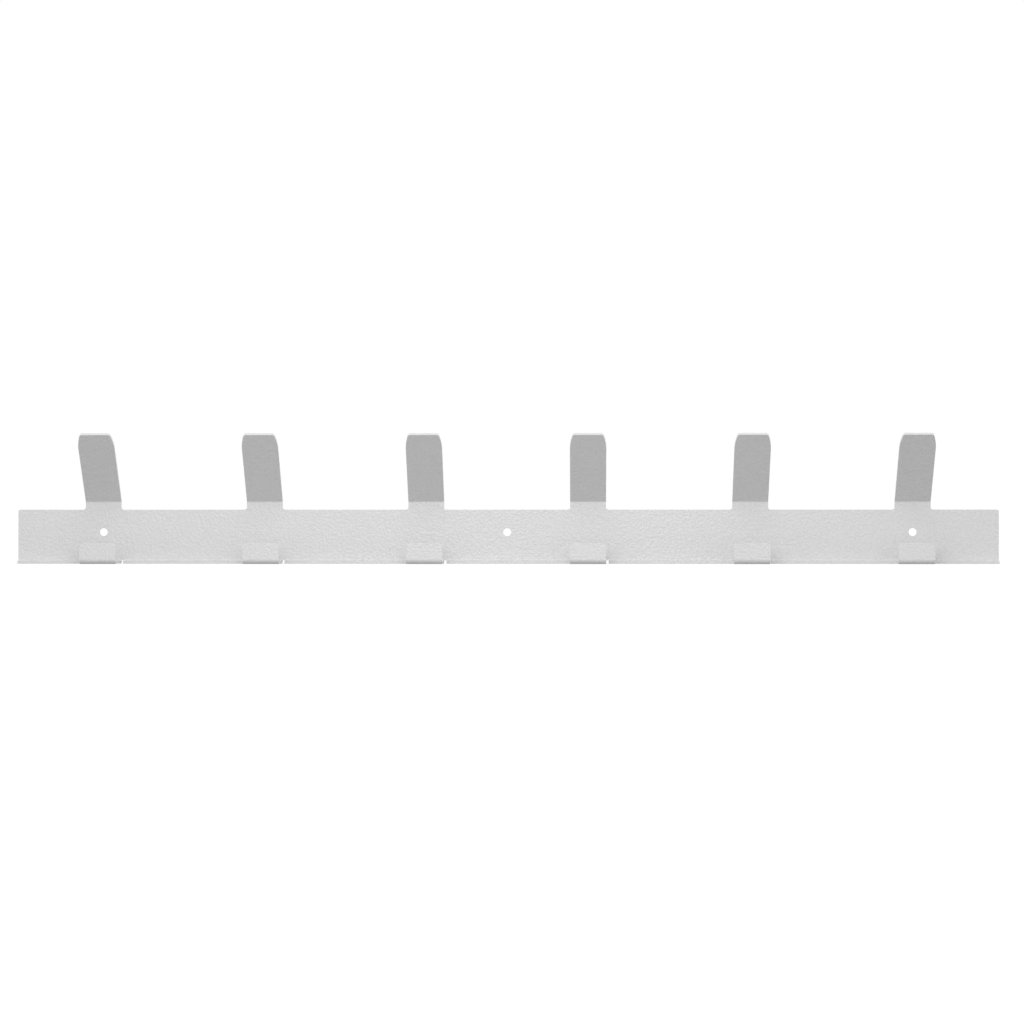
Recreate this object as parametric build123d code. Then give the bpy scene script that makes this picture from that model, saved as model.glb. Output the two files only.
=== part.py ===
from build123d import *
import math
import os

# Wall hook rack, punched and folded from one sheet. Millimetres.
# +X runs along the bar, the front faces -Y, +Z is up.
# The bar's wall side is at Y = 0, and the middle screw hole is on the Y axis.

# Sheet
SHEET = 1.8              # thickness, coating included
INNER_BEND = 1.0         # inside radius of every fold
EDGE_ROUND = 0.2         # the coating rounds every cut edge

# Bar
BAR_LENGTH = 606.0
BAR_TOP = 13.9           # above the line of the screw holes
BAR_UNDERSIDE = -19.5
BAR_CORNER = 1.2         # end corners of the bar and of the ledge
LEDGE_REACH = 6.0        # from the bar's front face to the ledge's front edge

# Screw holes
SCREW_COUNT = 3
SCREW_SPACING = 250.0
SCREW_HOLE_D = 5.0

# Hooks, upper and lower alike
HOOK_COUNT = 6
HOOK_PITCH = 100.0
HOOK_WIDTH = 22.2

# Upper prong
NECK_RISE = 4.9          # from the bar's top edge to the fold, on the front face
NECK_ROOT_R = 1.5        # concave corners where the neck leaves the bar
PRONG_LENGTH = 56.8      # from the fold to the tip, on the front face
PRONG_TILT = 45.0        # degrees forward of upright
TIP_SHOULDER = 12.5      # length over which the sides curve in towards the tip
TIP_INSET = 2.0          # how far each side has curved in at the tip
TIP_CORNER = 1.7

# Lower hook
HOOK_REACH = 28.0        # from the bar's front face to the lip's front face
LIP_HEIGHT = 12.6        # from the underside to the lip's top
LIP_CORNER = 3.0
SHELF_CORNER = 1.0       # concave corner between the ledge and the hook's left side

# Relief notch on the right of each lower hook, cut up through the lower fold
NOTCH_WIDTH = 1.6
NOTCH_HEIGHT = 2.1       # above the underside

# Worked out from the above
HALF_WIDTH = HOOK_WIDTH / 2
FRONT = -SHEET                               # Y of the bar's front face
LEDGE_EDGE = FRONT - LEDGE_REACH             # Y of the ledge's front edge
LIP_INSIDE = FRONT - HOOK_REACH + SHEET      # Y of the lip's inner face
SHELF_TOP = BAR_UNDERSIDE + SHEET            # Z of the ledge's and the shelf's upper face
LIP_TOP = BAR_UNDERSIDE + LIP_HEIGHT
PRONG_FOLD = BAR_TOP + NECK_RISE             # Z of the upper fold on the front face
LOWER_CUT = SHELF_TOP + INNER_BEND           # Z where the back plate ends and the fold starts
UPPER_CUT = BAR_TOP + NECK_ROOT_R            # Z where the back plate ends and the prongs start
HOOK_X = [HOOK_PITCH * (i - (HOOK_COUNT - 1) / 2) for i in range(HOOK_COUNT)]
SCREW_X = [SCREW_SPACING * (i - (SCREW_COUNT - 1) / 2) for i in range(SCREW_COUNT)]

# Modelling aids
SPARE = 5.0              # how far cutting shapes run past the sheet
SHARP_ANGLE = 30.0       # degrees between two faces that meet at a cut edge
NEAR = 0.01              # tolerance for finding an edge by its place
END = BAR_LENGTH / 2 + SPARE
FAR_FRONT = FRONT - PRONG_LENGTH
FAR_TOP = PRONG_FOLD + PRONG_LENGTH


def folded_strip(corners, side, width):
    """Strip of sheet across X = 0 whose inside face follows the corners, given as (Y, Z)."""
    inside = FilletPolyline(*corners, radius=INNER_BEND)
    profile = make_face(offset(inside, amount=SHEET, side=side, closed=True))
    return extrude(Plane.YZ * profile, amount=width / 2, both=True)


def slab(x, y, z):
    """Box given by its low and high value along each axis."""
    size = [high - low for low, high in (x, y, z)]
    return Pos(x[0], y[0], z[0]) * Box(*size, align=Align.MIN)


def bar():
    """The bar and the ledge along its bottom, with rounded end corners."""
    corners = [(FRONT, BAR_TOP), (FRONT, SHELF_TOP), (LEDGE_EDGE, SHELF_TOP)]
    solid = folded_strip(corners, Side.LEFT, BAR_LENGTH)
    solid = fillet(solid.edges().filter_by(Axis.Y).group_by(Axis.Z)[-1], BAR_CORNER)
    return fillet(solid.edges().filter_by(Axis.Z).group_by(Axis.Y)[0], BAR_CORNER)


def prong_outline():
    """The prong's outline in the plane of its blade, with the tip at Y = 0."""
    bottom = (HALF_WIDTH, -2 * PRONG_LENGTH)
    shoulder = (HALF_WIDTH, -TIP_SHOULDER)
    tip = (HALF_WIDTH - TIP_INSET, 0)
    side = Line(bottom, shoulder) + TangentArc(shoulder, tip, tangent=(0, 1))
    ends = Line(tip, (-tip[0], 0)) + Line(bottom, (-HALF_WIDTH, bottom[1]))
    outline = make_face(side + mirror(side, about=Plane.YZ) + ends)
    return fillet(outline.vertices().group_by(Axis.Y)[-1], TIP_CORNER)


def upper_prong():
    """Neck, fold and tilted blade, its sides curving in to a blunt tip."""
    tilt = math.radians(PRONG_TILT)
    forward = math.sin(tilt)
    up = math.cos(tilt)
    tip = (FRONT - PRONG_LENGTH * forward, PRONG_FOLD + PRONG_LENGTH * up)
    strip = folded_strip([(FRONT, 0), (FRONT, PRONG_FOLD), tip], Side.RIGHT, 2 * HOOK_WIDTH)
    blade = Plane(origin=(0, *tip), x_dir=(1, 0, 0), z_dir=(0, -up, -forward))
    return strip & extrude(blade * prong_outline(), amount=PRONG_LENGTH, both=True)


def lower_hook():
    """Fold, shelf, second fold and upturned lip with rounded corners."""
    corners = [(FRONT, 0), (FRONT, SHELF_TOP), (LIP_INSIDE, SHELF_TOP), (LIP_INSIDE, LIP_TOP)]
    solid = folded_strip(corners, Side.LEFT, HOOK_WIDTH)
    across = solid.edges().filter_by(Axis.Y)
    return fillet(across.filter_by_position(Axis.Z, LIP_TOP - NEAR, LIP_TOP + NEAR), LIP_CORNER)


def edges_at(solid, direction, x, other_axis, other):
    """Edges parallel to the direction, at this X and at this place on one other axis."""
    found = solid.edges().filter_by(direction).filter_by_position(Axis.X, x - NEAR, x + NEAR)
    return found.filter_by_position(other_axis, other - NEAR, other + NEAR)


def round_inner_corners(solid):
    """Round the concave corners beside the necks and between the ledge and the shelves."""
    roots = []
    shelf_corners = []
    for x in HOOK_X:
        roots += edges_at(solid, Axis.Y, x - HALF_WIDTH, Axis.Z, BAR_TOP)
        roots += edges_at(solid, Axis.Y, x + HALF_WIDTH, Axis.Z, BAR_TOP)
        shelf_corners += edges_at(solid, Axis.Z, x - HALF_WIDTH, Axis.Y, LEDGE_EDGE)
    return solid.fillet(NECK_ROOT_R, roots).fillet(SHELF_CORNER, shelf_corners)


def cut_edges(solid):
    """Every edge where two faces meet at an angle, which leaves out the folds' tangent lines."""
    faces_by_edge = {}
    for face in solid.faces():
        for edge in face.edges():
            faces_by_edge.setdefault(edge, []).append(face)
    found = []
    for edge, faces in faces_by_edge.items():
        normals = [face.normal_at(edge @ 0.5) for face in faces]
        if len(normals) == 2 and normals[0].get_angle(normals[1]) > SHARP_ANGLE:
            found.append(edge)
    return found


def whole_rack():
    """The folded blank in one piece, notched, drilled and with its cut edges rounded."""
    solid = bar()
    for x in HOOK_X:
        solid += Pos(x, 0, 0) * upper_prong()
        solid += Pos(x, 0, 0) * lower_hook()
    for x in HOOK_X:
        left = x + HALF_WIDTH
        notch_z = (BAR_UNDERSIDE - SPARE, BAR_UNDERSIDE + NOTCH_HEIGHT)
        solid -= slab((left, left + NOTCH_WIDTH), (LEDGE_EDGE - SPARE, SPARE), notch_z)
    for x in SCREW_X:
        solid -= Pos(x, 0, 0) * (Plane.XZ * Cylinder(SCREW_HOLE_D / 2, 2 * SPARE))
    solid = round_inner_corners(solid)
    return solid.fillet(EDGE_ROUND, cut_edges(solid))


def cut_into_nodes(rack):
    """The blank cut beside its folds, as node names and solids that meet face to face."""
    plate_box = slab((-END, END), (FRONT - SHEET / 2, SPARE), (LOWER_CUT, UPPER_CUT))
    made = {"back_plate": rack & plate_box}
    lower_part = rack - plate_box
    ledge_start = -END
    for i, x in enumerate(HOOK_X, 1):
        prong_x = (x - HOOK_WIDTH, x + HOOK_WIDTH)
        made[f"upper_prong_{i}"] = rack & slab(prong_x, (FAR_FRONT, SPARE), (UPPER_CUT, FAR_TOP))
        left = x - HALF_WIDTH - SHELF_CORNER
        right = x + HALF_WIDTH + NOTCH_WIDTH / 2
        made[f"ledge_{i}"] = lower_part & lower_slab(ledge_start, left)
        made[f"lower_hook_{i}"] = lower_part & lower_slab(left, right)
        ledge_start = right
    made[f"ledge_{HOOK_COUNT + 1}"] = lower_part & lower_slab(ledge_start, END)
    return made


def lower_slab(left, right):
    """Everything between two X values that lies lower than the lips' tops."""
    return slab((left, right), (FAR_FRONT, SPARE), (BAR_UNDERSIDE - SPARE, LIP_TOP + NEAR))


if __name__ == "__main__":
    os.makedirs("parts", exist_ok=True)
    for name, solid in cut_into_nodes(whole_rack()).items():
        export_step(solid, f"parts/{name}.step")
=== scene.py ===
import bpy
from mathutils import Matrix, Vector

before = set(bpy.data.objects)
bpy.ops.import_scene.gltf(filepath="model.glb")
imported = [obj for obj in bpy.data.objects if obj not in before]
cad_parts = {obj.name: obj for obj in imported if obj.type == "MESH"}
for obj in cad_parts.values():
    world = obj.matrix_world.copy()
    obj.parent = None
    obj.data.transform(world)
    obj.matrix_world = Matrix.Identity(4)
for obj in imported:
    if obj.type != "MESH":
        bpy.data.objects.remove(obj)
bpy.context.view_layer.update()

MM = 0.001
WHITE = (1.0, 1.0, 1.0, 1.0)
scene = bpy.context.scene

# Powder coat
COAT_SHADE = 0.55            # grey level of the coating
SHADE_GRAIN = 0.03           # how far the shade varies from grain to grain
SHADE_CLOUD = 0.012          # and slowly along the sheet
PEBBLE_SIZE = 1.5 * MM       # the texture that shows as grain
PEBBLE_HEIGHT = 0.28 * MM
PEBBLE_DETAIL = 1.5
PORE_SIZE = 0.45 * MM        # the finer texture on top of it
PORE_HEIGHT = 0.02 * MM
PORE_DETAIL = 1.0
CLOUD_SIZE = 60.0 * MM
CLOUD_DETAIL = 2.0
ROUGHNESS = (0.30, 0.44)     # from pore to pore
NOISE_RANGE = (0.3, 0.7)     # where nearly all of a noise texture's values lie

# Studio
SKY_STRENGTH = 1.005
FLOOR_DROP = 1.5             # metres below the line of the screw holes
FLOOR_SIZE = 40.0
FLOOR_SHADE = 0.36
FLOOR_ROUGHNESS = 0.9
FADE_START = 5.0             # the floor fades into the white surroundings from here
FADE_END = 8.2
LIGHTS_AIM = (0.0, 0.0, 0.0)   # the middle screw hole
KEY_POWER = 2.45             # in front, a little above
KEY_SIZE = 0.5
KEY_AT = (-0.03, -0.81, 0.25)
TOP_POWER = 0.7              # above, a little in front
TOP_SIZE = 0.5
TOP_AT = (-0.03, -0.35, 0.77)
SIDE_POWER = 10.0            # at each end of the bar
SIDE_SIZE = 0.8
SIDE_AT = (1.8, -0.05, 0.3)  # on the right; its twin stands on the left

# Camera
CAMERA_LENS = 122.3
SENSOR_WIDTH = 36.0
CAMERA_AT = (0.0487, -2.1505, 0.0)
CAMERA_AIM = (0.0030, -0.0018, 0.0124)


class Nodes:
    """Short calls for building one node tree."""

    def __init__(self, material):
        material.use_nodes = True
        self.tree = material.node_tree
        self.shader = self.tree.nodes["Principled BSDF"]

    def add(self, kind, links=(), **values):
        """A new node: links are (socket, source) pairs, values go to sockets by name."""
        node = self.tree.nodes.new(kind)
        for name, value in values.items():
            node.inputs[name.replace("_", " ")].default_value = value
        for socket, source in links:
            self.link(source, node.inputs[socket])
        return node

    def link(self, source, socket):
        self.tree.links.new(source, socket)

    def noise(self, place, size, detail):
        node = self.add("ShaderNodeTexNoise", [("Vector", place)], Scale=1.0 / size, Detail=detail)
        return node.outputs["Fac"]

    def spread(self, value, low, high, source_range=NOISE_RANGE):
        """The source range of the value, stretched over low to high."""
        start, end = source_range
        node = self.add("ShaderNodeMapRange", [("Value", value)], From_Min=start, From_Max=end,
                        To_Min=low, To_Max=high)
        return node.outputs["Result"]

    def multiply(self, first, second):
        node = self.add("ShaderNodeMath", [(0, first), (1, second)])
        node.operation = "MULTIPLY"
        return node.outputs["Value"]

    def bump(self, height, distance, below=None):
        links = [("Height", height)]
        if below:
            links.append(("Normal", below))
        return self.add("ShaderNodeBump", links, Distance=distance).outputs["Normal"]

    def grey(self, level):
        links = [(name, level) for name in ("Red", "Green", "Blue")]
        return self.add("ShaderNodeCombineColor", links).outputs["Color"]


def powder_coat():
    """Pale grey powder coating with a fine pebbled texture."""
    material = bpy.data.materials.new("powder_coat")
    nodes = Nodes(material)
    place = nodes.add("ShaderNodeTexCoord").outputs["Object"]
    pebbles = nodes.noise(place, PEBBLE_SIZE, PEBBLE_DETAIL)
    pores = nodes.noise(place, PORE_SIZE, PORE_DETAIL)
    cloud = nodes.noise(place, CLOUD_SIZE, CLOUD_DETAIL)
    grain = nodes.spread(pebbles, COAT_SHADE * (1 - SHADE_GRAIN), COAT_SHADE * (1 + SHADE_GRAIN))
    drift = nodes.spread(cloud, 1 - SHADE_CLOUD, 1 + SHADE_CLOUD)
    nodes.link(nodes.grey(nodes.multiply(grain, drift)), nodes.shader.inputs["Base Color"])
    nodes.link(nodes.spread(pores, *ROUGHNESS), nodes.shader.inputs["Roughness"])
    relief = nodes.bump(pores, PORE_HEIGHT, nodes.bump(pebbles, PEBBLE_HEIGHT))
    nodes.link(relief, nodes.shader.inputs["Normal"])
    return material


def pale_floor():
    """Plain pale floor that fades into the white surroundings far from the object."""
    material = bpy.data.materials.new("floor")
    nodes = Nodes(material)
    place = nodes.add("ShaderNodeTexCoord").outputs["Object"]
    length = nodes.add("ShaderNodeVectorMath", [(0, place)])
    length.operation = "LENGTH"
    glow = nodes.spread(length.outputs["Value"], 0.0, SKY_STRENGTH, (FADE_START, FADE_END))
    shader = nodes.shader.inputs
    nodes.link(glow, shader["Emission Strength"])
    shader["Emission Color"].default_value = WHITE
    shader["Base Color"].default_value = (FLOOR_SHADE, FLOOR_SHADE, FLOOR_SHADE, 1.0)
    shader["Roughness"].default_value = FLOOR_ROUGHNESS
    shader["Specular IOR Level"].default_value = 0.0
    return material


def aim(thing, location, target):
    thing.location = location
    direction = Vector(target) - Vector(location)
    thing.rotation_euler = direction.to_track_quat("-Z", "Y").to_euler()


def soft_light(name, location, size, power):
    data = bpy.data.lights.new(name, "AREA")
    data.shape = "DISK"
    data.size = size
    data.energy = power
    light = bpy.data.objects.new(name, data)
    scene.collection.objects.link(light)
    aim(light, location, LIGHTS_AIM)


# Every piece is one folded sheet with one coating
coat = powder_coat()
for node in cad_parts.values():
    node.data.materials.clear()
    node.data.materials.append(coat)

# Surroundings, floor and lights
world = bpy.data.worlds.new("studio")
world.use_nodes = True
sky = world.node_tree.nodes["Background"].inputs
sky["Color"].default_value = WHITE
sky["Strength"].default_value = SKY_STRENGTH
scene.world = world

bpy.ops.mesh.primitive_plane_add(size=FLOOR_SIZE, location=(0.0, 0.0, -FLOOR_DROP))
floor = bpy.context.object
floor.name = "floor"
floor.data.materials.append(pale_floor())

soft_light("key", KEY_AT, KEY_SIZE, KEY_POWER)
soft_light("top", TOP_AT, TOP_SIZE, TOP_POWER)
soft_light("side_right", SIDE_AT, SIDE_SIZE, SIDE_POWER)
soft_light("side_left", (-SIDE_AT[0], *SIDE_AT[1:]), SIDE_SIZE, SIDE_POWER)

# Camera
lens = bpy.data.cameras.new("camera")
lens.lens = CAMERA_LENS
lens.sensor_width = SENSOR_WIDTH
camera = bpy.data.objects.new("camera", lens)
scene.collection.objects.link(camera)
aim(camera, CAMERA_AT, CAMERA_AIM)
scene.camera = camera
scene.view_settings.view_transform = "Standard"
